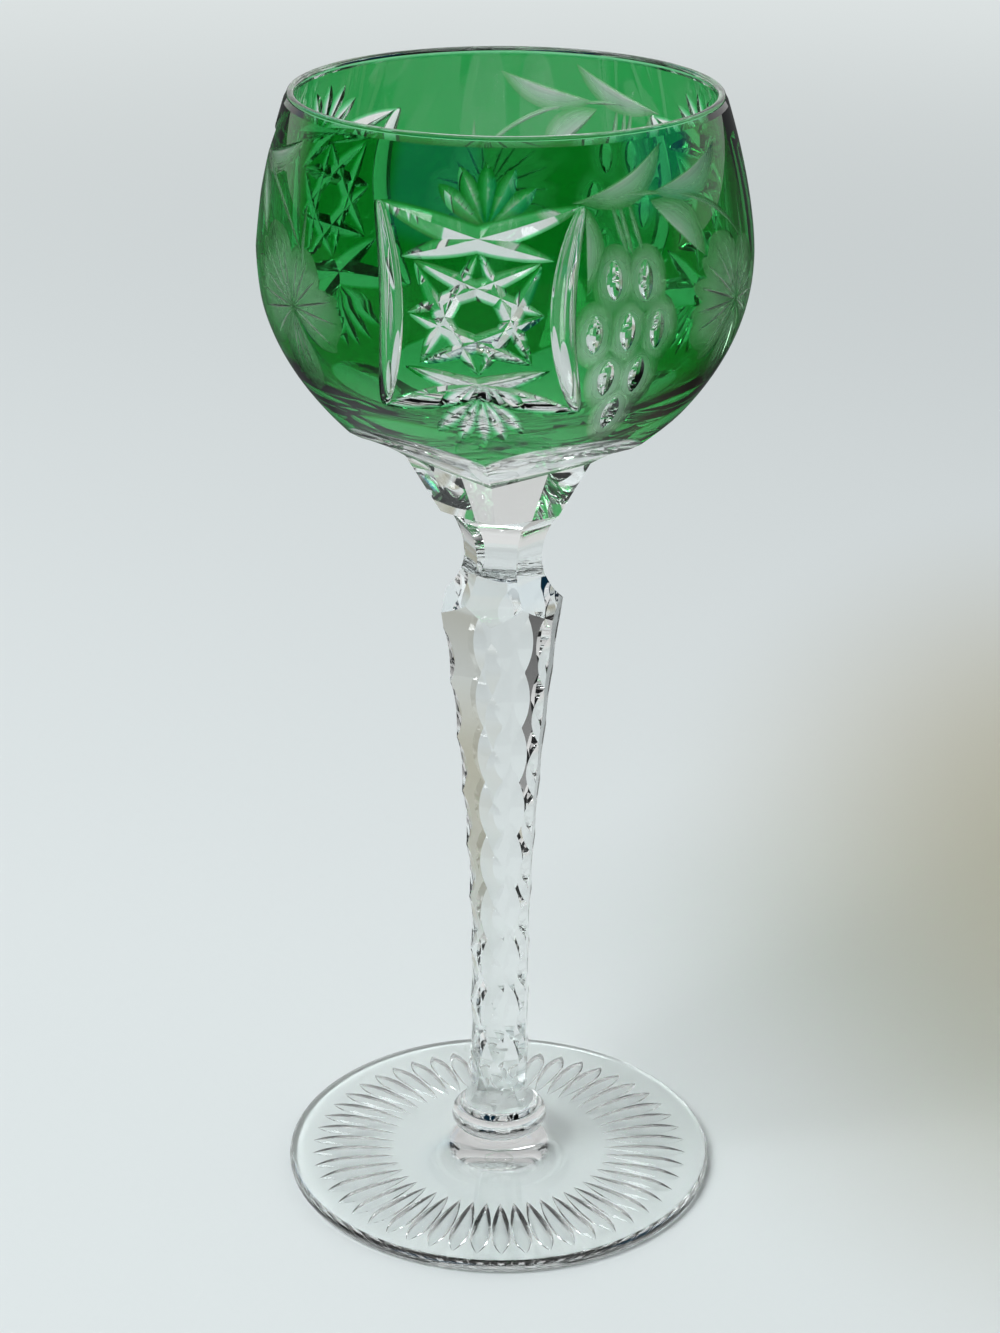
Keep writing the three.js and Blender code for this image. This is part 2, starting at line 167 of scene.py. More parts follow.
class FootSizes(bpy.types.PropertyGroup):
    """Sizes of the foot and the collar"""

    radius: length("Radius", 41.0 * MM, "Radius of the foot")
    edge: length("Edge", 2.5 * MM, "Thickness at the rounded edge")
    slope: length("Slope", 1.5 * MM, "Even part of the rise to the seat")
    sweep: number("Sweep", 9.0, "Power of the rest of that rise")
    flutes: bpy.props.IntProperty(name="Flutes", description="Flutes in the underside", default=50)
    flute_inner: length("Flute Inner", 20.5 * MM, "Radius of a flute's inner tip")
    flute_widest: length("Flute Widest", 31.0 * MM, "Radius of its widest place")
    flute_outer: length("Flute Outer", 36.5 * MM, "Radius of its outer tip")
    flute_half_width: length("Flute Half Width", 1.8 * MM, "Half the width of a flute")
    flute_depth: length("Flute Depth", 0.8 * MM, "Depth of a flute")
    bead_radius: length("Bead Radius", 9.2 * MM, "Radius of the collar's bead")
    step: length("Step", 1.3 * MM, "Height of the collar's step")
    step_radius: length("Step Radius", 7.1 * MM, "Radius of the collar's step")
    bevel: length("Bevel", 0.4 * MM, "Bevel of the collar's step")


class CutSizes(bpy.types.PropertyGroup):
    """Half widths and depths of the cuts in the bowl"""

    panels: bpy.props.IntProperty(name="Panels", description="Repeats round the bowl", default=3)
    upright_half_width: length("Upright Half Width", 2.15 * MM, "Round-bottomed upright of a panel")
    upright_depth: length("Upright Depth", 1.35 * MM, "Its depth")
    upright_bow: length("Upright Bow", 4.0 * MM, "How far it bows in towards the star")
    cross_half_width: length("Cross Half Width", 2.3 * MM, "Crossing mitre of a panel")
    cross_depth: length("Cross Depth", 1.5 * MM, "Its depth")
    star_half_width: length("Star Half Width", 1.65 * MM, "Arm of the star")
    star_depth: length("Star Depth", 1.1 * MM, "Its depth")
    fan_half_width: length("Fan Half Width", 1.75 * MM, "Petal of a fan")
    upper_fan_depth: length("Upper Fan Depth", 0.52 * MM, "Depth of a petal over the panel")
    lower_fan_depth: length("Lower Fan Depth", 0.62 * MM, "Depth of a petal under the panel")
    grape_half_width: length("Grape Half Width", 4.2 * MM, "Hollow oval of a grape")
    grape_half_height: length("Grape Half Height", 6.1 * MM, "The same, up and down")
    grape_depth: length("Grape Depth", 0.36 * MM, "Its depth")
    olive_half_width: length("Olive Half Width", 1.55 * MM, "Polished lens in a grape")
    olive_half_height: length("Olive Half Height", 3.6 * MM, "The same, up and down")
    olive_depth: length("Olive Depth", 1.2 * MM, "Its depth")
    leaf_depth: length("Leaf Depth", 0.44 * MM, "Engraved leaf")
    vine_depth: length("Vine Depth", 0.4 * MM, "Engraved vine leaf at its middle")
    vein_half_width: length("Vein Half Width", 0.25 * MM, "Vein of the vine leaf")
    vein_depth: length("Vein Depth", 0.95 * MM, "Its depth")
    shoot_half_width: length("Shoot Half Width", 0.55 * MM, "Shoot or stalk")
    shoot_depth: length("Shoot Depth", 0.28 * MM, "Its depth")
    lap: length("Lap", 0.05 * MM, "A cutter's widest place lies this far outside the glass")


class GlassColours(bpy.types.PropertyGroup):
    """Colours of the glass"""

    crystal: colour("Crystal", "#F9FBFA", "Tint of the clear crystal")
    green: colour("Green", "#057F1C", "What two passes through the green casing leave of white")
    frost: colour("Frost", "#B9BEB3", "Glass that the engraver's wheel left matt")


class StageColours(bpy.types.PropertyGroup):
    """Colours of the floor and the light"""

    floor: colour("Floor", "#DDE3E3", "Floor")
    # painted shadow: the darker, warmer tone laid on the floor to the right of the goblet
    painted_shadow_tone: colour("Warm Floor", "#BFBCAB", "Floor on the goblet's right")
    sky: colour("Sky", "#DDE3E3", "Background above the floor")
    window: colour("Window", "#45A0D8", "Soft windows that the glass reflects")


SIZE_GROUPS = {
    "goblet_bowl": BowlSizes,
    "goblet_neck": NeckSizes,
    "goblet_stem": StemSizes,
    "goblet_foot": FootSizes,
    "goblet_cuts": CutSizes,
    "goblet_glass": GlassColours,
    "goblet_stage": StageColours,
}


def deselect():
    if bpy.context.object and bpy.context.object.mode != "OBJECT":
        bpy.ops.object.mode_set(mode="OBJECT")
    bpy.ops.object.select_all(action="DESELECT")


def activate(obj):
    deselect()
    obj.select_set(True)
    bpy.context.view_layer.objects.active = obj


def discard(objects):
    for obj in objects:
        bpy.data.meshes.remove(obj.data)


def traced(steps, place):
    """Places from share 0 to share 1."""
    return [place(i / steps) for i in range(steps + 1)]


def turned(name, profile, steps, turn=0.0):
    """A profile of (radius, height), drawn point by point and spun round the Z axis.

    It starts towards -Y, turned towards +X. With six steps its corners follow the profile.
    """
    side = Vector((math.sin(turn), -math.cos(turn), 0))
    deselect()
    bpy.ops.mesh.primitive_plane_add(size=MM, location=(0, 0, 0))
    obj = bpy.context.object
    obj.name = name
    bpy.ops.object.mode_set(mode="EDIT")
    bpy.ops.mesh.merge(type="CENTER")
    places = [side * radius + Vector((0, 0, height)) for radius, height in profile]
    bpy.ops.transform.translate(value=places[0])
    for start, end in zip(places, places[1:]):
        bpy.ops.mesh.extrude_vertices_move(TRANSFORM_OT_translate={"value": end - start})
    bpy.ops.mesh.select_all(action="SELECT")
    bpy.ops.mesh.spin(steps=steps, angle=FULL_TURN, center=(0, 0, 0), axis=(0, 0, 1))
    bpy.ops.mesh.select_all(action="SELECT")
    bpy.ops.mesh.remove_doubles(threshold=DOUBLES)
    bpy.ops.mesh.normals_make_consistent(inside=False)
    bpy.ops.object.mode_set(mode="OBJECT")
    return obj


def give(obj, material):
    """Gives an object and all its faces one material."""
    obj.data.materials.clear()
    obj.data.materials.append(material)
    return obj


def combine(obj, operation, others):
    """Cuts, joins or meets an object with others, which are used up."""
    group = bpy.data.collections.new(obj.name + "_cutters")
    bpy.context.scene.collection.children.link(group)
    for other in others:
        group.objects.link(other)
    activate(obj)
    bpy.ops.object.modifier_add(type="BOOLEAN")
    modifier = obj.modifiers[-1]
    modifier.operation = operation
    modifier.operand_type = "COLLECTION"
    modifier.collection = group
    modifier.solver = "MANIFOLD"
    modifier.material_mode = "TRANSFER"
    bpy.ops.object.modifier_apply(modifier=modifier.name)
    if not obj.data.polygons:
        raise RuntimeError(f"{obj.name}: nothing is left of it")
    discard(others)
    bpy.data.collections.remove(group)


def finished(obj, name, nodes, angle):
    """Smooths a piece up to the given angle, in degrees, and puts it in the frame."""
    activate(obj)
    bpy.ops.object.shade_smooth_by_angle(angle=math.radians(angle))
    obj.name = name
    obj.data.name = name
    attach(obj, "root")
    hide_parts(*nodes)


def fuse(obj, level, material):
    """Gives the flat faces at a fused joint a material that light passes."""
    index = len(obj.data.materials)
    obj.data.materials.append(material)
    for face in obj.data.polygons:
        if abs(face.center.z - level) < JOINT_SLACK and abs(face.normal.z) > JOINT_UPRIGHT:
            face.material_index = index


def node(tree, kind, inputs, output=0, **settings):
    """Adds a shader node with its settings, values and links, and returns one of its outputs."""
    made = tree.nodes.new(kind)
    for name, value in settings.items():
        setattr(made, name, value)
    for socket, value in inputs.items():
        if isinstance(value, bpy.types.NodeSocket):
            tree.links.new(value, made.inputs[socket])
        else:
            made.inputs[socket].default_value = value
    return made.outputs[output] if made.outputs else made


def stretch(value, start, end, low=0.0, high=1.0):
    """Sockets of a Map Range node that takes start..end to low..high."""
    return {"Value": value, "From Min": start, "From Max": end, "To Min": low, "To Max": high}


def new_material(name):
    """An empty node material and its tree."""
    material = bpy.data.materials.new(name)
    material.use_nodes = True
    material.node_tree.nodes.clear()
    return material, material.node_tree


def mirror_rays(tree):
    """1 for what a surface mirrors, 0 for what is seen straight on or through glass."""
    glossy = node(tree, "ShaderNodeLightPath", {}, "Is Glossy Ray")
    through = node(tree, "ShaderNodeLightPath", {}, "Is Transmission Ray")
    return node(tree, "ShaderNodeMath", {0: glossy, 1: through}, operation="SUBTRACT", use_clamp=True)


def cut_depth(tree):
    """How deep a place on the bowl is cut: 0 at the skin, 1 at the bottom of the green casing."""
    bowl = bpy.context.scene.goblet_bowl
    place = node(tree, "ShaderNodeTexCoord", {}, "Object")
    height = node(tree, "ShaderNodeSeparateXYZ", {0: place}, "Z")
    level = node(tree, "ShaderNodeVectorMath", {0: place, 1: (1, 1, 0)}, operation="MULTIPLY")
    radius = node(tree, "ShaderNodeVectorMath", {0: level}, "Value", operation="LENGTH")
    below = node(tree, "ShaderNodeMapRange", stretch(height, RING, WIDEST, 1.0, 0.0))
    above = node(tree, "ShaderNodeMapRange", stretch(height, WIDEST, RIM))
    curve_below = node(tree, "ShaderNodeMath", {0: below, 1: bowl.sweep}, operation="POWER")
    curve_above = node(tree, "ShaderNodeMath", {0: above, 1: bowl.rim_sweep}, operation="POWER")
    narrowing = bowl.radius - bowl.ring_radius - bowl.ring_ledge
    narrowed = node(tree, "ShaderNodeMath", {0: curve_below, 1: narrowing}, operation="MULTIPLY")
    closing = bowl.radius - bowl.rim_radius
    closed = node(tree, "ShaderNodeMath", {0: curve_above, 1: closing}, operation="MULTIPLY")
    inwards = node(tree, "ShaderNodeMath", {0: narrowed, 1: closed}, operation="ADD")
    skin = node(tree, "ShaderNodeMath", {0: bowl.radius, 1: inwards}, operation="SUBTRACT")
    depth = node(tree, "ShaderNodeMath", {0: skin, 1: radius}, operation="SUBTRACT")
    return node(tree, "ShaderNodeMath", {0: depth, 1: bowl.casing}, operation="DIVIDE")


def cased_colour(tree, depth):
    """Tint of the bowl's outside: as deep a green as there is casing left."""
    glass = bpy.context.scene.goblet_glass
    left = node(tree, "ShaderNodeMapRange", stretch(depth, 0.0, 1.0, 1.0, 0.0))
    green = node(tree, "ShaderNodeGamma", {"Color": glass.green, "Gamma": left})
    tint = {"Factor": 1.0, "A": green, "B": glass.crystal}
    return node(tree, "ShaderNodeMix", tint, "Result", data_type="RGBA", blend_type="MULTIPLY")


LEAD_CRYSTAL_IOR = 1.54


def glass_surface(tree, **inputs):
    """The principled shader of glass with some inputs of its own, and the material's output."""
    sockets = {"Roughness": 0.0, "IOR": LEAD_CRYSTAL_IOR, "Transmission Weight": 1.0}
    sockets |= {name.replace("_", " "): value for name, value in inputs.items()}
    surface = node(tree, "ShaderNodeBsdfPrincipled", sockets)
    node(tree, "ShaderNodeOutputMaterial", {"Surface": surface})


def clear_crystal():
    """Lead crystal, cut and polished: colourless, bright in its reflections, with sharp edges."""
    material, tree = new_material("polished lead crystal")
    glass_surface(tree, Base_Color=bpy.context.scene.goblet_glass.crystal)
    return material


def cased_crystal():
    """Green glass over crystal, polished: the green fades out on the slopes of the cuts."""
    material, tree = new_material("polished green cased crystal")
    glass_surface(tree, Base_Color=cased_colour(tree, cut_depth(tree)))
    return material


# How the engraver's wheel leaves the glass. Depths are shares of the casing's thickness.
FROST_DEPTH = (0.15, 1.0)  # where frost starts, and where it is full
FROST_ROUGHNESS = (0.12, 0.48)  # without frost and with all of it, as in the next two
FROST_PALENESS = (0.05, 0.6)
FROST_CLEARNESS = (1.0, 0.7)
VEIN_SHADE = (1.1, 1.3, 1.0, 0.2)  # the share of light left falls from one depth to the other
GRIT_REPEATS = (2.0, 9.0, 1.0)  # of the wheel's fine lines, along a cut and across it
GRIT_DETAIL = {"Scale": 1.0, "Detail": 4.0, "Roughness": 0.6}
GRIT_SHADE = (0.35, 0.5, 0.78, 1.0)  # the lowest parts of the lines are darker
GRIT_BUMP = {"Strength": 0.5, "Distance": 0.15 * MM}


def engraved_crystal():
    """The same glass left matt by the engraver's wheel, which drew fine lines along each cut.

    It scatters light and looks frosted: pale grey where the wheel went deep, fading to clear
    green where a stroke runs out. In the veins, which are deeper and narrow, a painted shade
    makes it darker. The lines stand for a grit of 0.1 mm, drawn coarser.
    """
    material, tree = new_material("wheel engraved cased crystal")
    glass = bpy.context.scene.goblet_glass
    depth = cut_depth(tree)
    frost = node(tree, "ShaderNodeMapRange", stretch(depth, *FROST_DEPTH))
    stroke = node(tree, "ShaderNodeTexCoord", {}, "UV")
    grit = node(tree, "ShaderNodeMapping", {"Vector": stroke, "Scale": GRIT_REPEATS})
    lines = node(tree, "ShaderNodeTexNoise", {"Vector": grit, **GRIT_DETAIL})
    rough = node(tree, "ShaderNodeMapRange", stretch(frost, 0.0, 1.0, *FROST_ROUGHNESS))
    share = node(tree, "ShaderNodeMapRange", stretch(frost, 0.0, 1.0, *FROST_PALENESS))
    pale = {"Factor": share, "A": cased_colour(tree, depth), "B": glass.frost}
    frosted = node(tree, "ShaderNodeMix", pale, "Result", data_type="RGBA")
    streaks = node(tree, "ShaderNodeMapRange", stretch(lines, *GRIT_SHADE))
    # painted shade: the deep, narrow veins are darkened, as shade falls in them
    veins = node(tree, "ShaderNodeMapRange", stretch(depth, *VEIN_SHADE))
    shade = node(tree, "ShaderNodeMath", {0: streaks, 1: veins}, operation="MULTIPLY")
    vein_shaded_and_lined = node(tree, "ShaderNodeVectorMath", {0: frosted, "Scale": shade}, operation="SCALE")
    bump = node(tree, "ShaderNodeBump", {"Height": lines, **GRIT_BUMP})
    clear = node(tree, "ShaderNodeMapRange", stretch(frost, 0.0, 1.0, *FROST_CLEARNESS))
    glass_surface(tree, Base_Color=vein_shaded_and_lined, Roughness=rough, Transmission_Weight=clear, Normal=bump)
    return material


def fused_joint():
    """Where two pieces of hot glass were fused there is no surface, so light passes unchanged."""
    material, tree = new_material("fused joint")
    glass_surface(tree, IOR=1.0, Transmission_Weight=0.0, Alpha=0.0)
    return material


def shared(name, make):
    """A material of that name, made at its first use."""
    return bpy.data.materials.get(name) or make()


def crystal():
    return shared("polished lead crystal", clear_crystal)


def joint():
    return shared("fused joint", fused_joint)


def outside_radius(height):
    """Outside radius of the uncut bowl at a height."""
    bowl = bpy.context.scene.goblet_bowl
    if height < WIDEST:
        share = (height - RING) / (WIDEST - RING)
        ball = bowl.ring_radius + bowl.ring_ledge
        return bowl.radius - (bowl.radius - ball) * (1 - share) ** bowl.sweep
    share = (height - WIDEST) / (RIM - WIDEST)
    return bowl.radius - (bowl.radius - bowl.rim_radius) * share ** bowl.rim_sweep


def inside_profile(levels):
    """(radius, height) of the hollow, from its floor up to the rim."""
    bowl = bpy.context.scene.goblet_bowl
    widest = bowl.radius - bowl.wall
    power = 2 / bowl.hollow_sweep

    def low(share):
        turn = share * math.pi / 2
        depth = (WIDEST - RING - bowl.floor) * max(math.cos(turn), 0) ** power
        return widest * math.sin(turn) ** power, WIDEST - depth

    def high(share):
        drop = (widest - bowl.rim_radius + bowl.rim_wall) * share ** bowl.rim_sweep
        return widest - drop, WIDEST + (RIM - WIDEST) * share

    return traced(levels, low)[:-1] + traced(levels // 2, high)


def half_round(steps, radius, middle, half, start):
    """(radius, height) along a half circle of radius half, whose outermost place is at radius."""
    def place(share):
        turn = start + share * math.pi
        return radius - half + half * math.cos(turn), middle + half * math.sin(turn)

    return traced(steps, place)


def neck_radius(height):
    """Corner radius of the neck's hollow flutes."""
    neck = bpy.context.scene.goblet_neck
    stem = bpy.context.scene.goblet_stem
    if height < WAIST:
        share = (WAIST - height) / neck.drop
        return neck.radius + (stem.shoulder_radius - neck.radius) * share ** neck.sweep
    share = (height - WAIST) / neck.rise
    return neck.radius + (neck.top_radius - neck.radius) * share ** neck.sweep


def neck_trim(material):
    """The six hollow flutes of the neck, as a solid that trims stem and bowl.

    It starts under the shoulder, and above the neck it is wider and taller than the goblet.
    """
    neck = bpy.context.scene.goblet_neck
    stem = bpy.context.scene.goblet_stem
    start = WAIST - 1.5 * neck.drop
    wide = 2 * bpy.context.scene.goblet_bowl.radius
    lower = traced(NECK_STEPS, lambda share: start + (WAIST - start) * share)
    upper = traced(NECK_STEPS, lambda share: WAIST + neck.rise * share)[1:]
    profile = [(0, 0), (neck_radius(start), 0)]
    profile += [(neck_radius(height), height) for height in lower + upper]
    profile += [(wide, RING), (wide, 2 * RIM), (0, 2 * RIM)]
    return give(turned("neck_trim", profile, CORNERS, FULL_TURN / CORNERS / 2 + stem.turn), material)


def base_trim(material):
    """The six wide flutes under the bowl with their ring and cone, as a solid that trims the bowl.

    The ring's corners between two panels, and the start of the wide flutes there, are lifted.
    """
    bowl = bpy.context.scene.goblet_bowl

    def sweep(share):
        place = FLUTE_BEND * (2 * share * (1 - share)) + FLUTE_END * share ** 2
        return bowl.ring_radius + place.x, RING + place.y

    wide = 2 * bowl.radius
    neck_top = WAIST + bpy.context.scene.goblet_neck.rise
    profile = [(0, 0), (bowl.cone_radius, 0), (bowl.cone_radius, neck_top)]
    profile += [*traced(FLUTE_STEPS, sweep), (wide, 2 * RIM), (0, 2 * RIM)]
    obj = turned("base_trim", profile, CORNERS)
    panels = bpy.context.scene.goblet_cuts.panels
    slack = 0.01  # takes in the ring's own corners
    for vertex in obj.data.vertices:
        outwards = (math.hypot(vertex.co.x, vertex.co.y) - bowl.ring_radius) / bowl.ring_fade
        between = math.cos(panels * math.atan2(vertex.co.x, -vertex.co.y)) < 0
        on_flute = vertex.co.z > RING - MM and -slack < outwards < 1
        if between and on_flute:
            vertex.co.z += bowl.ring_lift * (1 - outwards)
    return give(obj, material)


def on_bowl(azimuth, height, out):
    """A place on the bowl's outside, in degrees and metres, moved out along the normal."""
    rise = 0.1 * MM
    slope = (outside_radius(height + rise) - outside_radius(height - rise)) / (2 * rise)
    length_out = math.hypot(1, slope)
    reach = outside_radius(height) + out / length_out
    angle = math.radians(azimuth)
    return Vector((reach * math.sin(angle), -reach * math.cos(angle), height - out * slope / length_out))


def unit_cutter(name, sides, steps, point):
    """A ball of unit size with its poles up and down, and its tips drawn in.

    With point 0 the tips stay round, with 1 they are sharp, and below 0 they are blunt. The UV
    map holds each place along the cut, from 0 to 1, and across it, from -1 to 1.
    """
    at_pole, least = 0.001, 0.0001  # places on the axis stay, and the map stays finite there
    deselect()
    bpy.ops.mesh.primitive_uv_sphere_add(segments=sides, ring_count=steps, radius=1)
    obj = bpy.context.object
    obj.name = name
    mesh = obj.data
    for vertex in mesh.vertices:
        ring = math.sqrt(max(1 - vertex.co.z ** 2, 0))
        if ring > at_pole:
            vertex.co.x *= ring ** point
            vertex.co.y *= ring ** point
    for loop, stroke in zip(mesh.loops, mesh.uv_layers[0].data):
        place = mesh.vertices[loop.vertex_index].co
        ring = math.sqrt(max(1 - place.z ** 2, least)) ** (1 + point)
        stroke.uv = ((1 + place.z) / 2, place.x / ring)
    return obj


def laid(unit, material, place):
    """A copy of a unit cutter, laid on the glass: place takes across, along and out."""
    mesh = unit.data.copy()
    for vertex in mesh.vertices:
        vertex.co = place(vertex.co.x, vertex.co.z, vertex.co.y)
    copy = bpy.data.objects.new(unit.name + "_laid", mesh)
    bpy.context.scene.collection.objects.link(copy)
    volume = sum(face.normal.dot(face.center - mesh.vertices[0].co) * face.area for face in mesh.polygons)
    if volume < 0:
        mesh.flip_normals()
    return give(copy, material)


def cut_along(
    unit, material, start, end, half_width, depth, bow=0.0, skew=0.0, lean=1.0, bottom=1.0, fade=0.0,
):
    """A cut on the bowl from one (azimuth, height) to another, bowed to the right in metres.

    With a skew its deepest line lies off the middle, from -1 to 1. A lean below 1 puts its
    widest place nearer the end. A bottom below 1 is flat across, above 1 it is dished. With a
    fade the cut gets shallower towards the end.
    """
    lap = bpy.context.scene.goblet_cuts.lap
    per_degree = math.radians(1) * outside_radius((start[1] + end[1]) / 2)
    run = Vector(((end[0] - start[0]) * per_degree, end[1] - start[1]))
    side = Vector((run.y, -run.x)).normalized()

    def place(across, along, out):
        share = ((1 + along) / 2) ** lean
        sideways = (across + skew * abs(out)) * half_width + bow * 4 * share * (1 - share)
        level = math.copysign(abs(out) ** bottom, out) * (1 - fade * share)
        azimuth = start[0] + share * (end[0] - start[0]) + side.x * sideways / per_degree
        height = start[1] + share * (end[1] - start[1]) + side.y * sideways
        return on_bowl(azimuth, height, level * depth + lap)

    return laid(unit, material, place)


def shifted(middle, *places, side=1):
    """Places of (degrees, millimetres), moved round to a repeat of the pattern.

    A side of -1 mirrors them.
    """
    return [(middle + side * azimuth, height * MM) for azimuth, height in places]


# Places of the cuts in degrees from a panel's middle and in millimetres above the table
PANEL_CORNERS = [(24.0, 199.4), (24.4, 164.6)]
PANEL_CROSSINGS = [(-17.1, 191.2), (-16.6, 173.1)]  # where the mitres from those corners end


def panel_frame(cuts, units, material, middle):
    """The frame of a star panel: two bowed uprights, and two pairs of mitres that cross."""
    for side in (-1, 1):
        high, low = corners = shifted(middle, *PANEL_CORNERS, side=side)
        ends = shifted(middle, *PANEL_CROSSINGS, side=side)
        yield cut_along(
            units["upright"], material, low, high, cuts.upright_half_width, cuts.upright_depth,
            -side * cuts.upright_bow,
        )
        for corner, end in zip(corners, ends):
            yield cut_along(units["mitre"], material, corner, end, cuts.cross_half_width, cuts.cross_depth)


STAR_SKIP = 3  # each point of the star is joined to this one round from it
STAR_TIPS = [
    (0.6, 192.9), (14.4, 191.0), (15.0, 182.6), (12.4, 174.2), (0.6, 172.2), (-12.6, 173.8), (-15.1, 182.4),
    (-13.9, 190.8),
]
UPPER_FAN_BASE = (2.0, 196.4)
UPPER_FAN = [(-9.6, 202.8), (-4.6, 205.7), (2.0, 206.4), (8.8, 205.6), (13.6, 202.6)]
LOWER_FAN_BASE = (1.0, 168.6)
LOWER_FAN = [(-11.7, 160.3), (-5.6, 158.7), (1.2, 158.0), (6.8, 158.7), (11.7, 160.5)]
PETAL_LEAN = 0.8


def star(cuts, units, material, middle):
    """The star of eight points, each joined to two others."""
    tips = shifted(middle, *STAR_TIPS)
    for i, tip in enumerate(tips):
        end = tips[(i + STAR_SKIP) % len(tips)]
        yield cut_along(units["mitre"], material, tip, end, cuts.star_half_width, cuts.star_depth)


def fans(cuts, units, material, middle):
    """The fans of petals over and under a star panel."""
    for base, tips, depth in (
        (UPPER_FAN_BASE, UPPER_FAN, cuts.upper_fan_depth), (LOWER_FAN_BASE, LOWER_FAN, cuts.lower_fan_depth),
    ):
        for place in tips:
            yield cut_along(
                units["petal"], material, *shifted(middle, base, place), cuts.fan_half_width, depth,
                lean=PETAL_LEAN,
            )


GRAPES = [
    (30.8, 187.4), (38.6, 186.8), (26.2, 178.7), (34.2, 178.6), (42.0, 178.2), (30.2, 170.6), (38.2, 170.5),
    (34.0, 163.4),
]
GRAPE_HOLLOW = 1.6  # how dished the floor of a grape is


def grapes(cuts, units, matt, polished, middle):
    """A bunch of matt hollow ovals, each with a small polished lens."""
    for azimuth, height in shifted(middle, *GRAPES):
        for unit, material, half_width, half_height, depth, bottom in (
            ("dish", matt, cuts.grape_half_width, cuts.grape_half_height, cuts.grape_depth, GRAPE_HOLLOW),
            ("olive", polished, cuts.olive_half_width, cuts.olive_half_height, cuts.olive_depth, 1.0),
        ):
            low, high = (azimuth, height - half_height), (azimuth, height + half_height)
            yield cut_along(units[unit], material, low, high, half_width, depth, bottom=bottom)


LEAVES = [
    # start, end (degrees, mm), half width and bow (mm), skew towards the crisp edge
    ((22.0, 199.9), (47.0, 207.6), 2.4, 3.0, -0.75),
    ((41.6, 200.2), (68.2, 205.6), 2.4, 2.6, -0.75),
    ((41.0, 199.3), (57.1, 188.5), 2.7, -2.0, 0.75),
    ((24.3, 185.3), (24.7, 199.6), 1.7, 1.5, -0.75),
]
SHOOTS = [
    # start, end (degrees, mm), bow (mm)
    ((21.0, 199.8), (47.0, 199.8), -0.7),
    ((44.0, 200.1), (75.0, 188.0), -2.6),
    ((74.6, 196.5), (76.0, 180.0), 0.3),
    ((31.0, 199.6), (34.6, 191.0), 0.2),
    ((33.0, 199.6), (35.6, 191.0), 0.2),
    ((35.4, 199.6), (38.4, 191.0), 0.2),
]
VINE_CENTRE = (71.4, 178.8)
VINE_LOBES = [
    # tip against the centre (degrees, mm), half width (mm)
    ((-12.0, 12.6), 5.2), ((6.4, 10.2), 4.8), ((16.9, -1.0), 5.4), ((-0.6, -15.4), 4.8), ((-19.6, -3.4), 5.2),
]
VINE_TEETH = [
    # the same for the smaller points between the lobes
    ((-7.0, 12.8), 2.2), ((-16.2, 9.4), 2.4), ((-19.6, 5.4), 2.4), ((1.6, 10.8), 2.2), ((10.0, 6.8), 2.4),
    ((16.0, 3.4), 2.2), ((14.6, -5.6), 2.4), ((3.6, -14.2), 2.0), ((-4.8, -14.4), 2.2),
    ((-14.4, -8.4), 2.4), ((-20.4, 0.6), 2.2),
]
LOBE_LEAN = 0.7
LOBE_FADE = 0.75
LOBE_FLATNESS = (0.35, 0.01)  # of the first lobe's floor, and how much less flat each next one is
VEIN_REACH = 0.85  # of the way from the centre to a tip
VEIN_FADE = 0.2


def leaves(cuts, units, material, middle):
    """Long leaves on a thin shoot, and a large vine leaf."""
    for start, end, half_width, bow, skew in LEAVES:
        yield cut_along(
            units["leaf"], material, *shifted(middle, start, end), half_width * MM, cuts.leaf_depth,
            bow * MM, skew,
        )
    for start, end, bow in SHOOTS:
        yield cut_along(
            units["shoot"], material, *shifted(middle, start, end), cuts.shoot_half_width,
            cuts.shoot_depth, bow * MM,
        )
    for i, ((azimuth, rise), half_width) in enumerate(VINE_LOBES + VINE_TEETH):
        tip = VINE_CENTRE[0] + azimuth, VINE_CENTRE[1] + rise
        flat, less_flat = LOBE_FLATNESS
        yield cut_along(
            units["lobe"], material, *shifted(middle, VINE_CENTRE, tip), half_width * MM,
            cuts.vine_depth, lean=LOBE_LEAN, bottom=flat + less_flat * i, fade=LOBE_FADE,
        )
        vein_end = VINE_CENTRE[0] + VEIN_REACH * azimuth, VINE_CENTRE[1] + VEIN_REACH * rise
        yield cut_along(
            units["shoot"], material, *shifted(middle, VINE_CENTRE, vein_end), cuts.vein_half_width,
            cuts.vein_depth, fade=VEIN_FADE,
        )


BOWL_CUTTERS = {
    # sides, steps from tip to tip, and how sharp the tips are
    "upright": (48, 64, -0.35),
    "mitre": (4, 32, 0.45),
    "petal": (4, 24, 0.7),
    "dish": (32, 20, 0),
    "olive": (16, 20, 0.6),
    "leaf": (4, 32, 0.8),
    "shoot": (6, 32, 0.3),
    "lobe": (16, 24, 0.7),
}
FLUTE_CUTTER = (12, 24, 0.8)


def carving(matt, polished):
    """Every cutter of the bowl's ornament."""
    cuts = bpy.context.scene.goblet_cuts
    units = {name: unit_cutter(name, *shape) for name, shape in BOWL_CUTTERS.items()}
    made = []
    for i in range(cuts.panels):
        middle = 360 / cuts.panels * i
        made += panel_frame(cuts, units, polished, middle)
        made += star(cuts, units, polished, middle)
        made += fans(cuts, units, polished, middle)
        made += grapes(cuts, units, matt, polished, middle)
        made += leaves(cuts, units, matt, middle)
    discard(units.values())
    return made


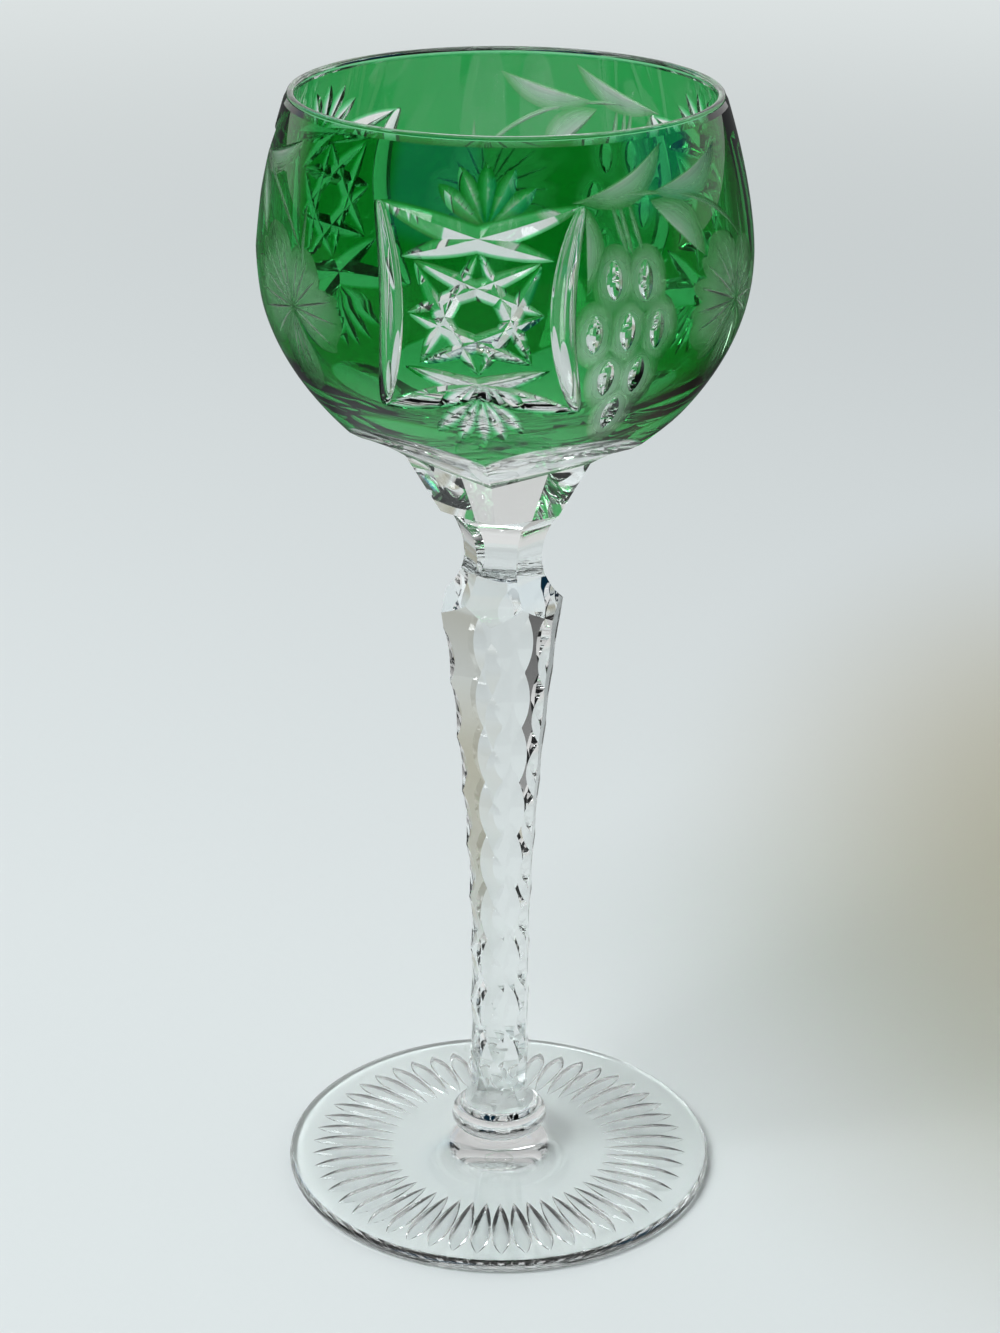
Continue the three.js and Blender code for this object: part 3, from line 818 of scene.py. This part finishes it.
class GOBLET_OT_bowl(bpy.types.Operator):
    """Model the cased and cut bowl with its base"""

    bl_idname = "goblet.bowl"
    bl_label = "Bowl"

    def execute(self, context):
        bowl = context.scene.goblet_bowl
        polished = cased_crystal()
        wide = 2 * bowl.radius
        profile = [(0, WAIST), (wide, WAIST), (wide, RING)]
        half = bowl.rim_wall / 2
        rim = half_round(RIM_STEPS, bowl.rim_radius, RIM - half, half, 0)
        skin_top = rim[0][1]
        hollow_top = skin_top - 0.2 * MM
        heights = traced(SKIN_STEPS, lambda share: RING + (skin_top - RING) * share)
        profile += [(outside_radius(height), height) for height in heights[:-1]]
        profile += rim
        profile += [place for place in reversed(inside_profile(HOLLOW_STEPS)) if place[1] < hollow_top]
        obj = give(turned("bowl", profile, ROUND_STEPS), polished)
        combine(obj, "INTERSECT", [base_trim(polished)])
        combine(obj, "INTERSECT", [neck_trim(polished)])
        combine(obj, "DIFFERENCE", carving(engraved_crystal(), polished))
        fuse(obj, WAIST, joint())
        finished(obj, "cased_bowl", ["bowl_lining", "bowl_casing"], CUT_ANGLE)
        return {"FINISHED"}


class GOBLET_OT_stem(bpy.types.Operator):
    """Model the six-sided stem with its notches and shoulder"""

    bl_idname = "goblet.stem"
    bl_label = "Stem"

    def execute(self, context):
        sizes = context.scene.goblet_stem
        neck = context.scene.goblet_neck
        shoulder = WAIST - neck.drop
        start = shoulder - sizes.flare_length

        def radius(height):
            share = min(max((height - start) / sizes.flare_length, 0), 1)
            return sizes.radius + (sizes.shoulder_radius - sizes.radius) * share ** sizes.flare_power

        levels = traced(STEM_STEPS, lambda share: COLLAR_TOP + (shoulder - COLLAR_TOP) * share)
        profile = [(0, COLLAR_TOP), *[(radius(z), z) for z in levels]]
        profile += [(sizes.shoulder_radius, WAIST), (0, WAIST)]
        obj = give(turned("stem", profile, CORNERS, sizes.turn), crystal())
        combine(obj, "INTERSECT", [neck_trim(crystal())])

        # A wheel of this radius sinks as deep as a notch between two ridges.
        pitch = (shoulder - COLLAR_TOP - sizes.notch_margin) / sizes.notches
        wheel_radius = pitch ** 2 / 8 / sizes.notch_depth
        wheel_sides, wheel_width = 360, 30 * MM
        deep = sizes.notch_depth + sizes.notch_ridge
        deselect()
        bpy.ops.mesh.primitive_cylinder_add(vertices=wheel_sides, radius=wheel_radius, depth=wheel_width)
        wheel = context.object
        wheels = []
        for i in range(CORNERS):
            turn = sizes.turn + i * FULL_TURN / CORNERS
            side = Vector((math.sin(turn), -math.cos(turn), 0))
            lying = Matrix.Rotation(turn, 4, "Z") @ Matrix.Rotation(math.pi / 2, 4, "Y")
            for j in range(sizes.notches):
                height = COLLAR_TOP + (j + 0.5) * pitch
                lean = (radius(height + pitch / 2) - radius(height - pitch / 2)) / pitch
                out = radius(height) - deep + wheel_radius
                place = side * out + Vector((0, 0, height - lean * wheel_radius))
                copy = bpy.data.objects.new("wheel_laid", wheel.data.copy())
                context.scene.collection.objects.link(copy)
                copy.data.transform(Matrix.Translation(place) @ lying)
                wheels.append(give(copy, crystal()))
        discard([wheel])
        combine(obj, "DIFFERENCE", wheels)
        fuse(obj, COLLAR_TOP, joint())
        fuse(obj, WAIST, joint())
        finished(obj, "cut_stem", ["stem"], CUT_ANGLE)
        return {"FINISHED"}


class GOBLET_OT_collar(bpy.types.Operator):
    """Model the pressed collar between foot and stem"""

    bl_idname = "goblet.collar"
    bl_label = "Collar"

    def execute(self, context):
        sizes = context.scene.goblet_foot
        half = (COLLAR_TOP - SEAT - sizes.step) / 2
        bead = half_round(BEAD_STEPS, sizes.bead_radius, SEAT + half, half, -math.pi / 2)
        profile = [(0, SEAT), *bead]
        profile += [
            (sizes.step_radius + sizes.bevel, SEAT + 2 * half),
            (sizes.step_radius, COLLAR_TOP - sizes.bevel),
            (sizes.step_radius - sizes.bevel, COLLAR_TOP),
            (0, COLLAR_TOP),
        ]
        obj = give(turned("stem_collar", profile, COLLAR_ROUND_STEPS), crystal())
        fuse(obj, SEAT, joint())
        finished(obj, "pressed_collar", ["stem_collar"], ROUND_ANGLE)
        return {"FINISHED"}


class GOBLET_OT_foot(bpy.types.Operator):
    """Model the round foot with the flutes in its underside"""

    bl_idname = "goblet.foot"
    bl_label = "Foot"

    def execute(self, context):
        sizes = context.scene.goblet_foot
        half = sizes.edge / 2
        seat_radius = sizes.bead_radius - (COLLAR_TOP - SEAT - sizes.step) / 2
        rise = SEAT - sizes.edge - sizes.slope
        edge = half_round(FOOT_EDGE_STEPS, sizes.radius, half, half, -math.pi / 2)

        def top(share):
            radius = sizes.radius - half - (sizes.radius - half - seat_radius) * share
            return radius, sizes.edge + sizes.slope * share + rise * share ** sizes.sweep

        profile = [(0, 0), *edge, *traced(FOOT_TOP_STEPS, top)[1:], (0, SEAT)]
        obj = give(turned("foot", profile, ROUND_STEPS), crystal())
        unit = unit_cutter("flute", *FLUTE_CUTTER)
        flutes = []
        for i in range(sizes.flutes):
            angle = FULL_TURN / sizes.flutes * i

            def place(across, along, out):
                tip = sizes.flute_inner if along < 0 else sizes.flute_outer
                reach = sizes.flute_widest + abs(along) * (tip - sizes.flute_widest)
                sideways = across * sizes.flute_half_width
                sine, cosine = math.sin(angle), math.cos(angle)
                return Vector((
                    sideways * cosine + reach * sine, sideways * sine - reach * cosine,
                    -out * sizes.flute_depth,
                ))

            flutes.append(laid(unit, crystal(), place))
        discard([unit])
        combine(obj, "DIFFERENCE", flutes)
        fuse(obj, SEAT, joint())
        finished(obj, "fluted_foot", ["foot"], ROUND_ANGLE)
        return {"FINISHED"}


SOFT = {"interpolation_type": "SMOOTHSTEP"}

# The floor, in metres. Here and in the room four numbers are a start and an end and what
# comes of them at each, and two alone go from 0 to 1.
FLOOR_SIZE = 12
FLOOR_DROP = 0.05 * MM  # keeps the paper off the foot's underside
# A painted soft shadow on the floor to the right of the goblet: a patch round this middle, and a band further
# right
PAINTED_SHADOW_MIDDLE = (0.14, 0.15, 0)  # middle of the patch of painted shadow, darker and warmer
PAINTED_SHADOW_OPEN = (0, FLOOR_SIZE, 0)  # to the right of that middle it doesn't fade
PAINTED_SHADOW_NARROWNESS = (10.0, 5.0, 0)
PAINTED_SHADOW_EDGE = (1.3, 0.2)
PAINTED_SHADOW_RIGHT = (0.12, 0.5)  # further right all of the floor takes the painted shadow's tone
MIRRORED_FLOOR = (0.06, 0.25, 0.0, 0.88)  # share of its light that it loses
HORIZON = (0.5, 1.4)  # the paper runs out between these distances

# The room, by height, which is 1 overhead, and by direction: BACK points away from the camera
BACK = (0.1, 0.85, -0.4)
OPEN_SIDE = (-0.75, -0.15, 0.03, 1.0)
CEILING = (0.1, 0.8, 0.77, 0.5)
MIRRORED_CEILING = (0.42, 0.7, 0.02, 0.6)
MIRRORED_WALL = (0.0, 0.35, 0.02, 0.75)
WINDOWS = 3
WINDOW_TURN = math.radians(28)
WINDOW_SIDES = (math.radians(26), math.radians(17))
WINDOW_SILL = (0.08, 0.16)
WINDOW_HEAD = (0.7, 0.6)
WINDOW_NEAR = (0.45, 0.2)

LAMP_PLACE = Vector((-1.1, -0.9, 2.0))
LAMP_AIM = Vector((0, 0, 0.1))
LAMP_SIZE = 1.5
LAMP_WATTS = 55
LAMP_COLOUR = (0.96, 0.98, 1.0)


class GOBLET_OT_stage(bpy.types.Operator):
    """Set the floor, the soft light and the camera"""

    bl_idname = "goblet.stage"
    bl_label = "Stage"

    def execute(self, context):
        colours = context.scene.goblet_stage
        deselect()
        bpy.ops.mesh.primitive_plane_add(size=FLOOR_SIZE, location=(0, 0, -FLOOR_DROP))
        floor = context.object
        floor.name = "floor"
        give(floor, self.floor_paper(colours))
        self.set_world(context, colours)
        self.set_lamp()
        self.set_camera(context)
        context.scene.view_settings.view_transform = "Standard"
        # A blur would cloud what shows through the foot. More bounces would fill the cuts' black accents.
        context.scene.cycles.blur_glossy = 0.0
        context.scene.cycles.glossy_bounces = 6
        return {"FINISHED"}

    def floor_paper(self, colours):
        """Matt pale paper that runs out into the background, with a painted soft shadow, darker and warmer,
        on the goblet's right.

        What glass mirrors of it, and doesn't let through, is darker away from the foot, as the
        open side of a paper backdrop is.
        """
        material, tree = new_material("matt white paper")
        place = node(tree, "ShaderNodeTexCoord", {}, "Object")
        reach = node(tree, "ShaderNodeVectorMath", {0: place}, "Value", operation="LENGTH")
        # painted shadow: a darker, warmer patch and band on the floor to the right of the goblet
        patch = node(tree, "ShaderNodeVectorMath", {0: place, 1: PAINTED_SHADOW_MIDDLE}, operation="SUBTRACT")
        open_right = node(tree, "ShaderNodeVectorMath", {0: patch, 1: PAINTED_SHADOW_OPEN}, operation="MINIMUM")
        narrow = {0: open_right, 1: PAINTED_SHADOW_NARROWNESS}
        oval = node(tree, "ShaderNodeVectorMath", narrow, operation="MULTIPLY")
        aside = node(tree, "ShaderNodeVectorMath", {0: oval}, "Value", operation="LENGTH")
        shade = node(tree, "ShaderNodeMapRange", stretch(aside, *PAINTED_SHADOW_EDGE), **SOFT)
        right = node(tree, "ShaderNodeSeparateXYZ", {0: place}, "X")
        far_right = node(tree, "ShaderNodeMapRange", stretch(right, *PAINTED_SHADOW_RIGHT), **SOFT)
        painted_shadow = node(tree, "ShaderNodeMath", {0: shade, 1: far_right}, operation="MAXIMUM")
        tones = {"Factor": painted_shadow, "A": colours.floor, "B": colours.painted_shadow_tone}
        tone = node(tree, "ShaderNodeMix", tones, "Result", data_type="RGBA")
        away = node(tree, "ShaderNodeMapRange", stretch(reach, *MIRRORED_FLOOR), **SOFT)
        dusk = node(tree, "ShaderNodeMath", {0: mirror_rays(tree), 1: away}, operation="MULTIPLY")
        left = node(tree, "ShaderNodeMath", {0: 1.0, 1: dusk}, operation="SUBTRACT")
        paint = node(tree, "ShaderNodeVectorMath", {0: tone, "Scale": left}, operation="SCALE")
        paper = node(tree, "ShaderNodeBsdfDiffuse", {"Color": paint})
        haze = node(tree, "ShaderNodeVectorMath", {0: colours.sky[:3], "Scale": left}, operation="SCALE")
        glow = node(tree, "ShaderNodeEmission", {"Color": haze})
        far = node(tree, "ShaderNodeMapRange", stretch(reach, *HORIZON), **SOFT)
        mixed = node(tree, "ShaderNodeMixShader", {0: far, 1: paper, 2: glow})
        node(tree, "ShaderNodeOutputMaterial", {"Surface": mixed})
        return material

    def set_world(self, context, colours):
        """A pale room that is dark in front, which gives cut glass its depth and its contrast."""
        world = bpy.data.worlds.new("pale room")
        context.scene.world = world
        world.use_nodes = True
        tree = world.node_tree
        tree.nodes.clear()
        towards = node(tree, "ShaderNodeTexCoord", {}, "Generated")
        height = node(tree, "ShaderNodeSeparateXYZ", {0: towards}, "Z")
        behind = node(tree, "ShaderNodeVectorMath", {0: towards, 1: BACK}, "Value", operation="DOT_PRODUCT")
        open_side = node(tree, "ShaderNodeMapRange", stretch(behind, *OPEN_SIDE), **SOFT)
        ceiling = node(tree, "ShaderNodeMapRange", stretch(height, *CEILING), **SOFT)
        room = node(tree, "ShaderNodeMath", {0: open_side, 1: ceiling}, operation="MULTIPLY")
        high = node(tree, "ShaderNodeMapRange", stretch(height, *MIRRORED_CEILING), **SOFT)
        wall = node(tree, "ShaderNodeMapRange", stretch(behind, *MIRRORED_WALL), **SOFT)
        mirrored = node(tree, "ShaderNodeMath", {0: high, 1: wall}, operation="MAXIMUM")
        window = self.windows(tree, towards, height, behind)
        mixed = {"Factor": window, "A": mirrored, "B": colours.window}
        glass = node(tree, "ShaderNodeMix", mixed, "Result", data_type="RGBA")
        lighting = {"Factor": mirror_rays(tree), "A": room, "B": glass}
        lit = node(tree, "ShaderNodeMix", lighting, "Result", data_type="RGBA")
        seen = node(tree, "ShaderNodeLightPath", {}, "Is Camera Ray")
        showing = {"Factor": seen, "A": lit, "B": colours.sky}
        shown = node(tree, "ShaderNodeMix", showing, "Result", data_type="RGBA")
        light = node(tree, "ShaderNodeBackground", {"Color": shown, "Strength": 1.0})
        node(tree, "ShaderNodeOutputWorld", {"Surface": light})

    def windows(self, tree, towards, height, behind):
        """Soft windows at the room's front and side, for mirrored light: 1 inside, 0 outside."""
        across = node(tree, "ShaderNodeSeparateXYZ", {0: towards}, "X")
        ahead = node(tree, "ShaderNodeSeparateXYZ", {0: towards}, "Y")
        frontwards = node(tree, "ShaderNodeMath", {0: ahead, 1: -1.0}, operation="MULTIPLY")
        azimuth = node(tree, "ShaderNodeMath", {0: across, 1: frontwards}, operation="ARCTAN2")
        offset = node(tree, "ShaderNodeMath", {0: azimuth, 1: WINDOW_TURN}, operation="ADD")
        reach = FULL_TURN / WINDOWS / 2
        off_middle = node(tree, "ShaderNodeMath", {0: offset, 1: reach, 2: -reach}, operation="WRAP")
        aside = node(tree, "ShaderNodeMath", {0: off_middle}, operation="ABSOLUTE")
        wide = node(tree, "ShaderNodeMapRange", stretch(aside, *WINDOW_SIDES), **SOFT)
        sill = node(tree, "ShaderNodeMapRange", stretch(height, *WINDOW_SILL), **SOFT)
        head = node(tree, "ShaderNodeMapRange", stretch(height, *WINDOW_HEAD), **SOFT)
        tall = node(tree, "ShaderNodeMath", {0: sill, 1: head}, operation="MULTIPLY")
        near = node(tree, "ShaderNodeMapRange", stretch(behind, *WINDOW_NEAR), **SOFT)
        pane = node(tree, "ShaderNodeMath", {0: wide, 1: tall}, operation="MULTIPLY")
        return node(tree, "ShaderNodeMath", {0: pane, 1: near}, operation="MULTIPLY")

    def set_lamp(self):
        """A large soft lamp from the left front, as daylight from a window."""
        deselect()
        bpy.ops.object.light_add(type="AREA", location=LAMP_PLACE)
        lamp = bpy.context.object
        lamp.name = "daylight"
        lamp.data.size = LAMP_SIZE
        lamp.data.energy = LAMP_WATTS
        lamp.data.color = LAMP_COLOUR
        lamp.rotation_euler = (LAMP_AIM - LAMP_PLACE).to_track_quat("-Z", "Y").to_euler()
        lamp.visible_glossy = False

    def set_camera(self, context):
        """The camera that was fitted to the photograph: outline, rim and foot ellipses and axis."""
        azimuth, pitch, roll = math.radians(6.3), math.radians(23.08), math.radians(0.367)
        distance, rise, sideways = 487.5 * MM, 311.8 * MM, -0.39 * MM
        sensor_width, focal_length = 36, 78.3
        ahead = Vector((-math.sin(azimuth), math.cos(azimuth), 0))
        right = Vector((math.cos(azimuth), math.sin(azimuth), 0))
        deselect()
        bpy.ops.object.camera_add(location=right * sideways - ahead * distance + Vector((0, 0, rise)))
        camera = context.object
        camera.name = "camera"
        turn = Matrix.Rotation(azimuth, 4, "Z") @ Matrix.Rotation(math.pi / 2 - pitch, 4, "X")
        camera.rotation_euler = (turn @ Matrix.Rotation(roll, 4, "Z")).to_euler()
        camera.data.sensor_width = sensor_width
        camera.data.lens = focal_length
        context.scene.camera = camera


OPERATORS = [GOBLET_OT_bowl, GOBLET_OT_stem, GOBLET_OT_collar, GOBLET_OT_foot, GOBLET_OT_stage]


class GOBLET_PT_panel(bpy.types.Panel):
    """Lists the goblet's pieces and sizes"""

    bl_label = "Goblet"
    bl_idname = "GOBLET_PT_panel"
    bl_space_type = "VIEW_3D"
    bl_region_type = "UI"
    bl_category = "Goblet"

    def draw(self, context):
        for operator in OPERATORS:
            self.layout.operator(operator.bl_idname)
        for attribute, group in SIZE_GROUPS.items():
            box = self.layout.box()
            box.label(text=group.__doc__)
            for name in group.__annotations__:
                box.prop(getattr(context.scene, attribute), name)


def register():
    for group in SIZE_GROUPS.values():
        bpy.utils.register_class(group)
    for attribute, group in SIZE_GROUPS.items():
        setattr(bpy.types.Scene, attribute, bpy.props.PointerProperty(type=group))
    for operator in OPERATORS:
        bpy.utils.register_class(operator)
    bpy.utils.register_class(GOBLET_PT_panel)


def unregister():
    bpy.utils.unregister_class(GOBLET_PT_panel)
    for operator in reversed(OPERATORS):
        bpy.utils.unregister_class(operator)
    for attribute in SIZE_GROUPS:
        delattr(bpy.types.Scene, attribute)
    for group in reversed(list(SIZE_GROUPS.values())):
        bpy.utils.unregister_class(group)


def main():
    register()
    bpy.ops.goblet.stage()
    bpy.ops.goblet.foot()
    bpy.ops.goblet.collar()
    bpy.ops.goblet.stem()
    bpy.ops.goblet.bowl()


if __name__ == "__main__":
    main()
